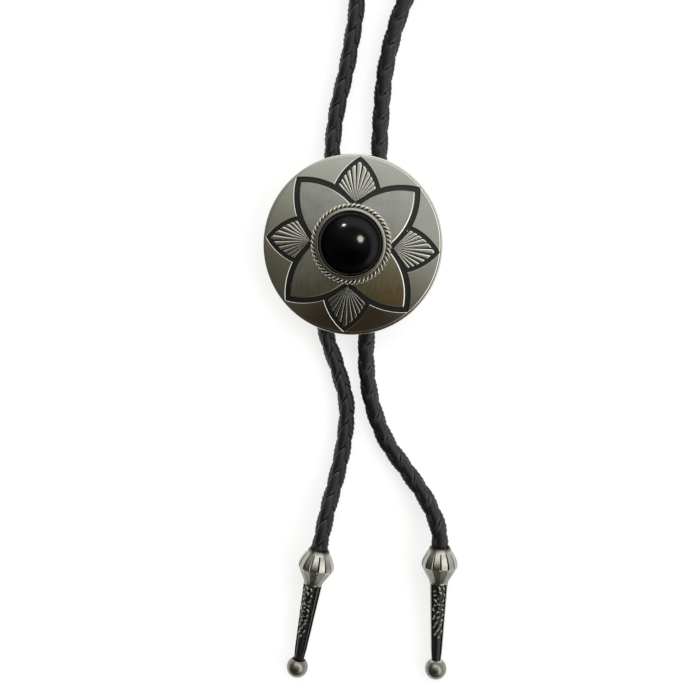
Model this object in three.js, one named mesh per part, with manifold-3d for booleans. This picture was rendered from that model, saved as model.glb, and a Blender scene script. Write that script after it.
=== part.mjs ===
// Bolo tie: a braided leather cord worn round the neck, drawn together by a round ornamental slide
// and ended by two cast metal tips. It lies flat, face up.
// Units are millimetres and +Z is up. The origin is under the middle of the slide, on the surface
// that the tie lies on. +Y runs from the slide to the neck loop. Left and right are as seen from
// the front, so the left tip is at -X.
import * as THREE from "three";
import { mergeVertices } from "three/addons/utils/BufferGeometryUtils.js";
import Module from "manifold-3d";

const wasm = await Module();
wasm.setup();

// ---- driving dimensions ----
const cordRadius = 2.35;
const slideRadius = 25.5;
const stoneRadius = 9;
const fitGap = 0.3; // left between pieces that touch
const channelSpacing = 12.4; // between the two runs of cord behind the slide

const plate = {
  thickness: 1.3,
  rimZ: 6.3, // underside of the dome, carried out to the full radius
  rise: 2, // height of the dome over its rim
  rimRadius: 0.65, // rolled edge
  grooveDepth: 0.45, // of the blackened line round each petal and leaf
};

const keeper = { wall: 0.8, width: 21, length: 18, padRadius: 8 };

const setting = {
  baseThickness: 0.6,
  wallOuter: 10, // radius of the bezel strip
  wallHeight: 3.1,
  lip: 0.2, // the burnished edge's chamfer
  ropeRadius: 0.8, // of the rope wire's section
  ropeRing: 10.7, // radius that the rope wire runs at
};

const stone = { girdleHeight: 1.6, domeRise: 3.5 };

const tip = {
  length: 38.9,
  socketDepth: 7,
  socketClearance: 0.45,
  mouthRadius: 3.4,
  bulgeRadius: 5.3,
  bulgeAt: 4.6, // distances are from the mouth
  shankRadius: 2.8,
  shankAt: 11.6,
  shankEndRadius: 1.45,
  ballRadius: 3.1,
};

// Facets round each turned piece.
const facets = { plate: 64, setting: 48, stone: 48, tip: 24, cord: 10 };
const cordSteps = 80;

// Petal and leaf outlines, as shares of the slide's radius. Each is two arcs that meet in a point on
// the form's own axis: arcAlong is where their centres stand along that axis, arcAcross how far
// beyond it. base is where the form starts, and band the width of the line sunk round its edge.
const petal = { arcAlong: 0.332, arcAcross: 0.447, arcRadius: 0.779, base: 0.34, band: 0.06 };
const leaf = { arcAlong: 0.427, arcAcross: 0.366, arcRadius: 0.655, base: 0.47, band: 0.042 };

// ---- sizes that follow ----
const plateTopZ = plate.rimZ + plate.rise + plate.thickness;
const channelRadius = cordRadius + fitGap;
const channelZ = keeper.wall + channelRadius;
const channelX = channelSpacing / 2;
const keeperTopZ = 2 * (keeper.wall + channelRadius);

// A tip rests on its bulge and its ball, so its axis slopes down towards the ball.
const ballAt = tip.length - tip.ballRadius;
const tipSlope = Math.asin((tip.bulgeRadius - tip.ballRadius) / (ballAt - tip.bulgeAt));
const mouthZ = tip.bulgeRadius + tip.bulgeAt * Math.sin(tipSlope);

// Where each tip's mouth is, and how far its axis turns from -Y towards +X.
const tipPlaces = [
  { name: "left_tip", x: -1.5, y: -88.4, heading: THREE.MathUtils.degToRad(-5.6) },
  { name: "right_tip", x: 33, y: -83.6, heading: THREE.MathUtils.degToRad(3.5) },
];

// ---- materials ----
const metal = (color, roughness) => new THREE.MeshStandardMaterial({ color, roughness, metalness: 1 });
const finishes = {
  polished: metal(0xb4b5ae, 0.12),
  soldered: metal(0xa9a9a0, 0.25),
  cast: metal(0x8f8f86, 0.3),
  sprung: metal(0x9a9b9d, 0.35),
  onyx: new THREE.MeshStandardMaterial({ color: 0x050507, roughness: 0.05 }),
  leather: new THREE.MeshStandardMaterial({ color: 0x26282a, roughness: 0.6 }),
};

// ---- shared shapes ----
const evenly = (count, make) => Array.from({ length: count + 1 }, (_, i) => make(i / count));

// A profile of [radius, height] pairs turned about +Z, going round the section anticlockwise.
function turned(profile, segments) {
  const points = profile.map(([radius, height]) => new THREE.Vector2(radius, height));
  return new THREE.LatheGeometry(points, segments).rotateX(Math.PI / 2);
}

// A round arc of a profile, from one angle to another.
function profileArc(centreRadius, centreHeight, radius, from, to, count) {
  return evenly(count, (share) => {
    const angle = THREE.MathUtils.lerp(from, to, share);
    return [centreRadius + radius * Math.cos(angle), centreHeight + radius * Math.sin(angle)];
  });
}

function toSolid(geometry) {
  const bare = geometry.clone();
  bare.deleteAttribute("normal");
  bare.deleteAttribute("uv");
  const merged = mergeVertices(bare);
  const vertProperties = merged.attributes.position.array;
  const triVerts = new Uint32Array(merged.index.array);
  return new wasm.Manifold(new wasm.Mesh({ numProp: 3, vertProperties, triVerts }));
}

function toGeometry(solid) {
  const { vertProperties, triVerts } = solid.getMesh();
  const geometry = new THREE.BufferGeometry();
  geometry.setAttribute("position", new THREE.BufferAttribute(vertProperties, 3));
  geometry.setIndex(new THREE.BufferAttribute(triVerts, 1));
  geometry.computeVertexNormals();
  return geometry;
}

function named(name, geometry, material) {
  const mesh = new THREE.Mesh(geometry, material);
  mesh.name = name;
  return mesh;
}

// ---- slide: domed face plate with the flower's outlines sunk into it ----
function domeDrop(radius) {
  return plate.rise * (radius / slideRadius) ** 2;
}

// The section line of a surface that follows the dome, from the middle outwards.
function domeLine(middleZ, radius) {
  return evenly(5, (share) => [share * radius, middleZ - domeDrop(share * radius)]);
}

function plateBlank() {
  const flatRadius = slideRadius - plate.rimRadius;
  const rimMiddleZ = plateTopZ - plate.thickness / 2 - domeDrop(flatRadius);
  const quarter = Math.PI / 2;
  const rim = profileArc(flatRadius, rimMiddleZ, plate.rimRadius, -quarter, quarter, 4);
  const under = domeLine(plateTopZ - plate.thickness, flatRadius).slice(0, -1);
  const over = domeLine(plateTopZ, flatRadius).slice(0, -1).reverse();
  return turned([...under, ...rim, ...over], facets.plate);
}

// The outline of a petal or leaf along +X, drawn in from its edge by a share of the slide's radius.
function outline(form, inset) {
  const radius = (form.arcRadius - inset) * slideRadius;
  const along = form.arcAlong * slideRadius;
  const across = form.arcAcross * slideRadius;
  const base = (form.base + inset / 2) * slideRadius;
  const tipAngle = Math.asin(across / radius);
  const baseAngle = Math.acos((base - along) / radius);
  const shape = new THREE.Shape();
  shape.absarc(along, -across, radius, baseAngle, tipAngle, true);
  shape.absarc(along, across, radius, -tipAngle, -baseAngle, true);
  return shape;
}

// The same form on all four axes that are a quarter turn apart, as upright prisms.
function fourForms(form, inset, firstAngle) {
  const prisms = [0, 1, 2, 3].map((quarter) => {
    const settings = { depth: plateTopZ, bevelEnabled: false, curveSegments: 5 };
    const prism = new THREE.ExtrudeGeometry(outline(form, inset), settings);
    return toSolid(prism.rotateZ(firstAngle + (quarter * Math.PI) / 2).translate(0, 0, plate.rimZ));
  });
  return prisms.reduce((joined, prism) => joined.add(prism));
}

function facePlate() {
  const petals = (inset) => fourForms(petal, inset, Math.PI / 4);
  const leaves = (inset) => fourForms(leaf, inset, 0);
  const raised = petals(petal.band).add(leaves(leaf.band).subtract(petals(0)));
  const belowGrooves = [[0, 0], [slideRadius, 0]];
  const grooveFloor = domeLine(plateTopZ - plate.grooveDepth, slideRadius).reverse();
  const floorSolid = toSolid(turned([...belowGrooves, ...grooveFloor], facets.plate));
  const grooves = petals(0).add(leaves(0)).subtract(raised).subtract(floorSolid);
  return toGeometry(toSolid(plateBlank()).subtract(grooves));
}

// ---- slide: back keeper, two cord channels side by side under a soldered pad ----
function backKeeper() {
  const halfWidth = keeper.width / 2;
  const section = new THREE.Shape([
    new THREE.Vector2(-halfWidth, 0),
    new THREE.Vector2(halfWidth, 0),
    new THREE.Vector2(halfWidth, keeperTopZ),
    new THREE.Vector2(-halfWidth, keeperTopZ),
  ]);
  for (const x of [-channelX, channelX]) {
    section.holes.push(new THREE.Path().absarc(x, channelZ, channelRadius, 0, 2 * Math.PI));
  }
  const settings = { depth: keeper.length, bevelEnabled: false, curveSegments: 8 };
  const block = new THREE.ExtrudeGeometry(section, settings);
  block.rotateX(Math.PI / 2).translate(0, keeper.length / 2, 0);
  const padTopZ = plateTopZ - plate.thickness - domeDrop(keeper.padRadius) - fitGap;
  const padFootZ = keeperTopZ - keeper.wall / 2;
  const pad = turned(
    [[0, padFootZ], [keeper.padRadius, padFootZ], [keeper.padRadius, padTopZ], [0, padTopZ]],
    facets.setting,
  );
  return toGeometry(toSolid(block).add(toSolid(pad)));
}

// ---- slide: bezel cup, its base following the dome, with a rope wire soldered round it ----
function bezelSetting() {
  const underZ = (radius) => plateTopZ + fitGap - domeDrop(radius);
  const bore = stoneRadius + fitGap;
  const topZ = plateTopZ + fitGap + setting.wallHeight;
  const bedZ = plateTopZ + fitGap + setting.baseThickness;
  const ropeZ = underZ(setting.ropeRing) + setting.ropeRadius;
  const rope = profileArc(
    setting.ropeRing, ropeZ, setting.ropeRadius, -Math.PI / 2, Math.PI * 0.8, 9,
  );
  const profile = [
    [0, underZ(0)],
    [stoneRadius / 2, underZ(stoneRadius / 2)],
    [stoneRadius, underZ(stoneRadius)],
    ...rope,
    [setting.wallOuter, topZ - setting.lip],
    [setting.wallOuter - setting.lip, topZ],
    [bore, topZ],
    [bore, bedZ],
    [0, bedZ],
  ];
  return turned(profile, facets.setting);
}

// ---- slide: round cabochon standing on the cup's base ----
function onyxStone() {
  const bottomZ = plateTopZ + setting.baseThickness + 2 * fitGap;
  const girdleZ = bottomZ + stone.girdleHeight;
  const dome = evenly(6, (share) => {
    const angle = (share * Math.PI) / 2;
    return [stoneRadius * Math.cos(angle), girdleZ + stone.domeRise * Math.sin(angle)];
  });
  const crown = [0, girdleZ + stone.domeRise];
  return turned([[0, bottomZ], [stoneRadius, bottomZ], ...dome.slice(0, -1), crown], facets.stone);
}

// ---- tips: a socket, a double-cone bulge, a tapered shank and a ball ----
// Turned about +Z with the mouth up at the origin, so that the ball is at -Z.
function tipShape() {
  const bore = cordRadius + tip.socketClearance;
  const neckAngle = Math.asin(tip.shankEndRadius / tip.ballRadius);
  const ball = profileArc(
    0, -ballAt, tip.ballRadius, -Math.PI / 2, Math.PI / 2 - neckAngle, 8,
  );
  const profile = [
    [0, -tip.length],
    ...ball.slice(1),
    [tip.shankRadius, -tip.shankAt],
    [tip.bulgeRadius * 0.93, -tip.bulgeAt - 1],
    [tip.bulgeRadius, -tip.bulgeAt],
    [tip.bulgeRadius * 0.95, -tip.bulgeAt * 0.8],
    [tip.mouthRadius, 0],
    [bore, 0],
    [bore, -tip.socketDepth],
    [0, -tip.socketDepth],
  ];
  return turned(profile, facets.tip);
}

function placedTip({ name, x, y, heading }) {
  const mesh = named(name, tipShape(), finishes.cast);
  mesh.rotation.x = tipSlope - Math.PI / 2;
  const holder = new THREE.Group();
  holder.position.set(x, y, mouthZ);
  holder.rotation.z = heading;
  holder.add(mesh);
  return holder;
}

// ---- cord ----
// The points that the cord's axis passes through from the left tip's mouth, up through the keeper,
// round the neck loop and down to the right tip's mouth. It lies on the surface except where it
// climbs into the keeper and into the tips.
const onSurface = cordRadius + 0.05;
const leftTail = [
  { x: -1, y: -83.9, z: 5.8 },
  { x: -0.1, y: -76, z: 5 },
  { x: 1.3, y: -67, z: 3.1 },
  { x: 2.4, y: -57.5, z: onSurface },
  { x: 2.2, y: -46, z: onSurface },
  { x: -1, y: -36.5, z: onSurface },
  { x: -5.9, y: -24.5, z: 3 },
  { x: -channelX, y: -12, z: channelZ },
];
const neckLoop = [
  { x: -channelX, y: 0, z: channelZ },
  { x: -channelX, y: 12, z: channelZ },
  { x: -8.6, y: 25, z: 2.8 },
  { x: -8.6, y: 36, z: onSurface },
  { x: -6.5, y: 53, z: onSurface },
  { x: -6.1, y: 73, z: onSurface },
  { x: -16, y: 103, z: onSurface },
  { x: -47, y: 140, z: onSurface },
  { x: -77, y: 181, z: onSurface },
  { x: -82, y: 227, z: onSurface },
  { x: -54, y: 266, z: onSurface },
  { x: 2, y: 286, z: onSurface },
  { x: 58, y: 266, z: onSurface },
  { x: 86, y: 227, z: onSurface },
  { x: 81, y: 181, z: onSurface },
  { x: 51, y: 140, z: onSurface },
  { x: 23, y: 103, z: onSurface },
  { x: 8.6, y: 72, z: onSurface },
  { x: 4.5, y: 53, z: onSurface },
  { x: 4.2, y: 38, z: onSurface },
  { x: 4.9, y: 25, z: 2.8 },
  { x: channelX, y: 12, z: channelZ },
  { x: channelX, y: 0, z: channelZ },
];
const rightTail = [
  { x: channelX, y: -12, z: channelZ },
  { x: 6.1, y: -24, z: 3 },
  { x: 6.8, y: -34, z: onSurface },
  { x: 9.6, y: -45, z: onSurface },
  { x: 14.6, y: -55, z: onSurface },
  { x: 21.7, y: -63.3, z: 2.9 },
  { x: 27.8, y: -70.4, z: 4.5 },
  { x: 32, y: -78, z: 5.75 },
];

// A point on a tip's axis, at a distance inside its mouth.
function inTip({ x, y, heading }, depth) {
  const level = depth * Math.cos(tipSlope);
  return new THREE.Vector3(
    x + level * Math.sin(heading),
    y - level * Math.cos(heading),
    mouthZ - depth * Math.sin(tipSlope),
  );
}

function braidedCord() {
  const [left, right] = tipPlaces;
  const endDepth = tip.socketDepth - 1.5;
  const between = [...leftTail, ...neckLoop, ...rightTail];
  const route = new THREE.CatmullRomCurve3([
    inTip(left, endDepth),
    inTip(left, 0),
    ...between.map(({ x, y, z }) => new THREE.Vector3(x, y, z)),
    inTip(right, 0),
    inTip(right, endDepth),
  ]);
  const section = new THREE.Shape().absarc(0, 0, cordRadius, 0, 2 * Math.PI);
  return new THREE.ExtrudeGeometry(section, {
    steps: cordSteps,
    curveSegments: facets.cord / 2,
    extrudePath: route,
  });
}

// ---- assembly ----
const slide = new THREE.Group();
slide.add(
  named("face_plate", facePlate(), finishes.polished),
  named("bezel_setting", bezelSetting(), finishes.soldered),
  named("onyx_stone", onyxStone(), finishes.onyx),
  named("back_keeper", backKeeper(), finishes.sprung),
);

const boloTie = new THREE.Group();
boloTie.add(slide, named("cord", braidedCord(), finishes.leather), ...tipPlaces.map(placedTip));

export default boloTie;
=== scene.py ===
import math
import bmesh
import bpy
from mathutils import Matrix, Vector


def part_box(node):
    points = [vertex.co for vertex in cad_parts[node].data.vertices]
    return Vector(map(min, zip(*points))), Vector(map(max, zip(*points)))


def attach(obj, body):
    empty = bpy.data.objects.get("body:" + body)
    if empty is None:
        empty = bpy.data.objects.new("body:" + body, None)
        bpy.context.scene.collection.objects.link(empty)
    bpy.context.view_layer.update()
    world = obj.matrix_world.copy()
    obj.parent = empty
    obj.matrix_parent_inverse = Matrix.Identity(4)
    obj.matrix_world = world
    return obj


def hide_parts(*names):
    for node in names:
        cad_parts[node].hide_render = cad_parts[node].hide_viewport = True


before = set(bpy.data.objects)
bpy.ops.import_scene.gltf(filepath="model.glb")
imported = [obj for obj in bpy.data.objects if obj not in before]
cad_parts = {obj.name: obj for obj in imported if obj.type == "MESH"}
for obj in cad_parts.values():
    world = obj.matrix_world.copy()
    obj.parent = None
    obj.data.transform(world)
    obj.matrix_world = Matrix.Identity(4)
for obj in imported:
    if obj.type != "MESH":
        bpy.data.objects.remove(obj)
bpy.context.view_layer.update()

mm = 0.001  # pieces are modelled in millimetres and made metres as they are finished
upAxis = Vector((0, 0, 1))
sideAxis = Vector((1, 0, 0))
slideRadius = 25.5
domeRise = 2  # how much the slide's middle stands over its rim


def mix(a, b, share):
    return a + (b - a) * share


def smoothStep(low, high, value):
    share = min(max((value - low) / (high - low), 0), 1)
    return share * share * (3 - 2 * share)


def boxOf(node):
    low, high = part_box(node)
    return low / mm, high / mm


# ---- mesh helpers ----

# Spins a line of (radius, height) points right round the upright axis.
def spinProfile(bm, profile, steps):
    verts = [bm.verts.new((radius, 0, height)) for radius, height in profile]
    edges = [bm.edges.new(pair) for pair in zip(verts, verts[1:])]
    bmesh.ops.spin(bm, geom=verts + edges, cent=(0, 0, 0), axis=upAxis, angle=2 * math.pi,
                   steps=steps, use_merge=True)
    bmesh.ops.remove_doubles(bm, verts=bm.verts, dist=0.001)


def arcProfile(radius, height, size, first, last, steps):
    angles = [math.radians(mix(first, last, i / steps)) for i in range(steps + 1)]
    return [(radius + size * math.cos(a), height + size * math.sin(a)) for a in angles]


def closeHoles(bm):
    bmesh.ops.holes_fill(bm, edges=[e for e in bm.edges if e.is_boundary], sides=0)


# A plain object that only lends its shape to a boolean cut.
def temporary(bm, materials):
    bmesh.ops.recalc_face_normals(bm, faces=bm.faces)
    mesh = bpy.data.meshes.new("temporary")
    bm.to_mesh(mesh)
    bm.free()
    for material in materials:
        mesh.materials.append(material)
    thing = bpy.data.objects.new("temporary", mesh)
    bpy.context.scene.collection.objects.link(thing)
    return thing


def carve(bm, cutters, materials):
    body = temporary(bm, materials)
    tools = [temporary(cutter, materials) for cutter in cutters]
    for tool in tools:
        cut = body.modifiers.new("carve", "BOOLEAN")
        cut.operation = "DIFFERENCE"
        cut.solver = "EXACT"
        cut.object = tool
    bpy.context.view_layer.update()
    whole = body.evaluated_get(bpy.context.evaluated_depsgraph_get())
    carved = bmesh.new()
    carved.from_mesh(whole.to_mesh())
    for thing in [body, *tools]:
        bpy.data.objects.remove(thing)
    return carved


def finishPiece(bm, name, materials, nodes, sharpAngle=35):
    bmesh.ops.recalc_face_normals(bm, faces=bm.faces)
    bm.transform(Matrix.Scale(mm, 4))
    mesh = bpy.data.meshes.new(name)
    bm.to_mesh(mesh)
    bm.free()
    mesh.shade_smooth()
    mesh.set_sharp_from_angle(angle=math.radians(sharpAngle))
    for material in materials:
        mesh.materials.append(material)
    piece = bpy.data.objects.new(name, mesh)
    bpy.context.scene.collection.objects.link(piece)
    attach(piece, "root")
    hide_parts(*nodes)
    return piece


# ---- material helpers ----

def colour(hexValue):
    channels = [int(hexValue[i:i + 2], 16) / 255 for i in (1, 3, 5)]
    linear = [c / 12.92 if c <= 0.04045 else ((c + 0.055) / 1.055) ** 2.4 for c in channels]
    return (*linear, 1)


# Adds one node. Its inputs are values or other nodes' outputs, by the socket's name or number.
def addNode(tree, kind, inputs=None, stops=None, **settings):
    node = tree.nodes.new(kind)
    for name, value in settings.items():
        setattr(node, name, value)
    for socket, value in (inputs or {}).items():
        if isinstance(value, bpy.types.NodeSocket):
            tree.links.new(value, node.inputs[socket])
        else:
            node.inputs[socket].default_value = value
    if stops:
        for place, shade in stops[2:]:
            node.color_ramp.elements.new(place)
        for element, (place, shade) in zip(node.color_ramp.elements, stops):
            element.position = place
            element.color = shade
    return node


def newMaterial(name, sockets):
    material = bpy.data.materials.new(name)
    material.use_nodes = True
    shader = material.node_tree.nodes["Principled BSDF"]
    for socket, value in sockets.items():
        shader.inputs[socket].default_value = value
    return material, material.node_tree, shader


def perMetre(size):
    return 1 / (size * mm)


# ---- camera ----

view = {
    "place": (35.354, -10.673, 329.147),
    "target": (1.4075, -30.158, 0),
    "turn": 5.387,  # degrees, anticlockwise seen from above
    "lens": 58.77,
}


def setCamera():
    back = (Vector(view["place"]) - Vector(view["target"])).normalized()
    turn = math.radians(view["turn"])
    right = Vector((-math.sin(turn), math.cos(turn), 0)).cross(back).normalized()
    camera = bpy.data.objects.new("camera", bpy.data.cameras.new("camera"))
    camera.data.lens = view["lens"]
    camera.data.sensor_width = 36
    camera.matrix_world = (Matrix.Translation(Vector(view["place"]) * mm)
                           @ Matrix((right, back.cross(right), back)).transposed().to_4x4())
    bpy.context.scene.collection.objects.link(camera)
    bpy.context.scene.camera = camera


setCamera()
print("camera set")

# ---- materials ----

# Nickel silver, stamped and buffed: a soft mirror with faint wiping marks.
polishedMetal, tree, shader = newMaterial("Buffed nickel silver", {
    "Base Color": colour("#d3d2ca"), "Metallic": 1, "Roughness": 0.2,
})
place = addNode(tree, "ShaderNodeTexCoord").outputs["Object"]
wipes = addNode(tree, "ShaderNodeTexNoise", {"Vector": place, "Scale": perMetre(6), "Detail": 5})
gloss = addNode(tree, "ShaderNodeMapRange", {"Value": wipes.outputs["Fac"], "To Min": 0.14,
                                             "To Max": 0.24})
tree.links.new(gloss.outputs["Result"], shader.inputs["Roughness"])
waves = addNode(tree, "ShaderNodeTexNoise", {"Vector": place, "Scale": perMetre(9), "Detail": 1})
relief = addNode(tree, "ShaderNodeBump", {"Height": waves.outputs["Fac"], "Strength": 0.12,
                                          "Distance": 0.3 * mm})
tree.links.new(relief.outputs["Normal"], shader.inputs["Normal"])

# Nickel silver rubbed with fine abrasive: a grey satin with short hair lines.
satinMetal, tree, shader = newMaterial("Satin rubbed nickel silver", {
    "Base Color": colour("#b5b3a8"), "Metallic": 1, "Roughness": 0.3,
})
place = addNode(tree, "ShaderNodeTexCoord").outputs["Object"]
drawn = addNode(tree, "ShaderNodeMapping", {"Vector": place, "Rotation": (0, 0, 0.5),
                                            "Scale": (1, 0.08, 1)})
hairs = addNode(tree, "ShaderNodeTexNoise", {"Vector": drawn.outputs["Vector"],
                                             "Scale": perMetre(0.35), "Detail": 3})
gloss = addNode(tree, "ShaderNodeMapRange", {"Value": hairs.outputs["Fac"], "To Min": 0.2,
                                             "To Max": 0.4})
tree.links.new(gloss.outputs["Result"], shader.inputs["Roughness"])
# Soft patches of random tone, and a painted warm reflection that grows towards the lower right of
# the slide.
aged = addNode(tree, "ShaderNodeVectorMath", {0: place, 1: (0.5, -0.87, 0)},
               operation="DOT_PRODUCT").outputs["Value"]
agedShare = addNode(tree, "ShaderNodeMapRange", {"Value": aged, "From Min": 0,
                                                 "From Max": 24 * mm}).outputs["Result"]
patches = addNode(tree, "ShaderNodeTexNoise", {"Vector": place, "Scale": perMetre(3), "Detail": 4})
toned = addNode(tree, "ShaderNodeMath", {0: patches.outputs["Fac"], 1: 0.5, 2: agedShare},
                operation="MULTIPLY_ADD")
shade = addNode(tree, "ShaderNodeValToRGB", {"Fac": toned.outputs["Value"]},
                stops=[(0.2, colour("#c4c4bf")), (0.6, colour("#aaa692")),
                       (1, colour("#a29067"))])
tree.links.new(shade.outputs["Color"], shader.inputs["Base Color"])
relief = addNode(tree, "ShaderNodeBump", {"Height": hairs.outputs["Fac"], "Strength": 0.25,
                                          "Distance": 0.02 * mm})
tree.links.new(relief.outputs["Normal"], shader.inputs["Normal"])

# Oxide left in the sunk lines: near black with a greenish cast and a dull shine.
blackened, tree, shader = newMaterial("Blackened oxide", {
    "Metallic": 0, "Roughness": 0.42, "IOR": 1.5, "Specular IOR Level": 0.6,
})
place = addNode(tree, "ShaderNodeTexCoord").outputs["Object"]
grit = addNode(tree, "ShaderNodeTexNoise", {"Vector": place, "Scale": perMetre(0.5), "Detail": 4})
shade = addNode(tree, "ShaderNodeValToRGB", {"Fac": grit.outputs["Fac"]},
                stops=[(0.3, colour("#040504")), (0.75, colour("#131614"))])
tree.links.new(shade.outputs["Color"], shader.inputs["Base Color"])
relief = addNode(tree, "ShaderNodeBump", {"Height": grit.outputs["Fac"], "Strength": 0.3,
                                          "Distance": 0.05 * mm})
tree.links.new(relief.outputs["Normal"], shader.inputs["Normal"])


# Cast or drawn metal, dark where its attribute nears 1: oxide left in its hollows, and painted
# shade on some faces turned from the light.
def hollowedMetal(name, bright, roughness, grain, unevenness):
    material, tree, shader = newMaterial(name, {"Metallic": 1, "Roughness": roughness})
    hollow = addNode(tree, "ShaderNodeAttribute", attribute_name="hollow").outputs["Fac"]
    place = addNode(tree, "ShaderNodeTexCoord").outputs["Object"]
    speck = addNode(tree, "ShaderNodeTexNoise", {"Vector": place, "Scale": perMetre(grain),
                                                 "Detail": 4})
    spread = addNode(tree, "ShaderNodeMath", {0: speck.outputs["Fac"], 1: 0.3, 2: hollow},
                     operation="MULTIPLY_ADD")
    shade = addNode(tree, "ShaderNodeValToRGB", {"Fac": spread.outputs["Value"]},
                    stops=[(0.3, colour(bright)), (0.8, colour("#0e0f0d"))])
    tree.links.new(shade.outputs["Color"], shader.inputs["Base Color"])
    gloss = addNode(tree, "ShaderNodeMapRange", {"Value": speck.outputs["Fac"],
                                                 "To Min": roughness * 0.7,
                                                 "To Max": roughness * 1.5})
    tree.links.new(gloss.outputs["Result"], shader.inputs["Roughness"])
    relief = addNode(tree, "ShaderNodeBump", {"Height": speck.outputs["Fac"],
                                              "Strength": unevenness, "Distance": 0.03 * mm})
    tree.links.new(relief.outputs["Normal"], shader.inputs["Normal"])
    return material


# Nickel silver struck in a die: bright ribs with oxide left between them, and painted shade over
# the bottom leaf's ribs.
struckMetal = hollowedMetal("Struck nickel silver", "#cfcec6", 0.22, 0.9, 0.2)
# Drawn silver-coloured wire and strip, soldered and pickled: bright with dark gaps.
solderedMetal = hollowedMetal("Soldered nickel silver wire", "#dddbd1", 0.2, 0.8, 0.15)
# The same strip where it is burnished over the stone: greyer and duller than the wire.
burnishedMetal = hollowedMetal("Burnished nickel silver strip", "#98968b", 0.26, 0.8, 0.1)
# Pewter-like alloy, spun-cast and tumbled: slightly grainy, black in its flutes, with painted
# shade on the lower cone and the ball, and on the shanks, heavily on the left tip.
castMetal = hollowedMetal("Tumbled cast alloy", "#b0aea4", 0.27, 0.6, 0.06)

# Pressed steel, nickel plated: an even grey with a soft shine.
platedSteel, tree, shader = newMaterial("Nickel plated pressed steel", {
    "Base Color": colour("#b9babb"), "Metallic": 1, "Roughness": 0.34,
})
place = addNode(tree, "ShaderNodeTexCoord").outputs["Object"]
rolled = addNode(tree, "ShaderNodeMapping", {"Vector": place, "Scale": (1, 0.1, 1)})
lines = addNode(tree, "ShaderNodeTexNoise", {"Vector": rolled.outputs["Vector"],
                                             "Scale": perMetre(0.5), "Detail": 3})
gloss = addNode(tree, "ShaderNodeMapRange", {"Value": lines.outputs["Fac"], "To Min": 0.26,
                                             "To Max": 0.42})
tree.links.new(gloss.outputs["Result"], shader.inputs["Roughness"])

# Dyed onyx, cut and polished: deep black, glassy.
polishedOnyx, tree, shader = newMaterial("Polished black onyx", {
    "Base Color": colour("#020203"), "Roughness": 0.1, "IOR": 1.54,
    "Specular IOR Level": 0.12,
})
place = addNode(tree, "ShaderNodeTexCoord").outputs["Object"]
cloud = addNode(tree, "ShaderNodeTexNoise", {"Vector": place, "Scale": perMetre(5), "Detail": 3})
shade = addNode(tree, "ShaderNodeValToRGB", {"Fac": cloud.outputs["Fac"]},
                stops=[(0.4, colour("#010102")), (0.9, colour("#040507"))])
tree.links.new(shade.outputs["Color"], shader.inputs["Base Color"])

# Cowhide laces, dyed black and waxed: charcoal, with fine grain and paler cut edges.
waxedLeather, tree, shader = newMaterial("Waxed black leather lace", {
    "Roughness": 0.5, "IOR": 1.45, "Specular IOR Level": 0.6,
})
across = addNode(tree, "ShaderNodeAttribute", attribute_name="across").outputs["Fac"]
along = addNode(tree, "ShaderNodeAttribute", attribute_name="along").outputs["Fac"]
lacePlace = addNode(tree, "ShaderNodeCombineXYZ", {"X": across, "Y": along}).outputs["Vector"]
place = addNode(tree, "ShaderNodeTexCoord").outputs["Object"]
pores = addNode(tree, "ShaderNodeTexVoronoi", {"Vector": place, "Scale": perMetre(0.45)},
                feature="SMOOTH_F1")
stretch = addNode(tree, "ShaderNodeMapping", {"Vector": lacePlace, "Scale": (3, 0.25, 1)})
fibres = addNode(tree, "ShaderNodeTexNoise", {"Vector": stretch.outputs["Vector"], "Scale": 2,
                                              "Detail": 4})
edge = addNode(tree, "ShaderNodeMath", {0: across}, operation="ABSOLUTE")
worn = addNode(tree, "ShaderNodeMath", {0: edge.outputs["Value"], 1: 0.75,
                                        2: fibres.outputs["Fac"]}, operation="MULTIPLY_ADD")
wornShare = addNode(tree, "ShaderNodeMath", {0: worn.outputs["Value"], 1: 0.78},
                    operation="MULTIPLY")
shade = addNode(tree, "ShaderNodeValToRGB", {"Fac": wornShare.outputs["Value"]},
                stops=[(0.15, colour("#131517")), (0.8, colour("#0d0f10")),
                       (1, colour("#43433f"))])
tree.links.new(shade.outputs["Color"], shader.inputs["Base Color"])
skin = addNode(tree, "ShaderNodeMath", {0: fibres.outputs["Fac"], 1: 0.8,
                                        2: pores.outputs["Distance"]}, operation="MULTIPLY_ADD")
relief = addNode(tree, "ShaderNodeBump", {"Height": skin.outputs["Value"], "Strength": 0.35,
                                          "Distance": 0.08 * mm})
tree.links.new(relief.outputs["Normal"], shader.inputs["Normal"])

# Matt white board.
whiteBoard, tree, shader = newMaterial("Matt white board", {
    "Base Color": colour("#bababa"), "Roughness": 0.9,
    "Emission Color": colour("#ffffff"), "Emission Strength": 0.74,
})
print("materials made")

# ---- cord: a four-strand round braid of flat laces ----

# Each tip carries its own painted shade on the shank outside the panels: heavy on the left tip,
# faint on the right.
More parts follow.
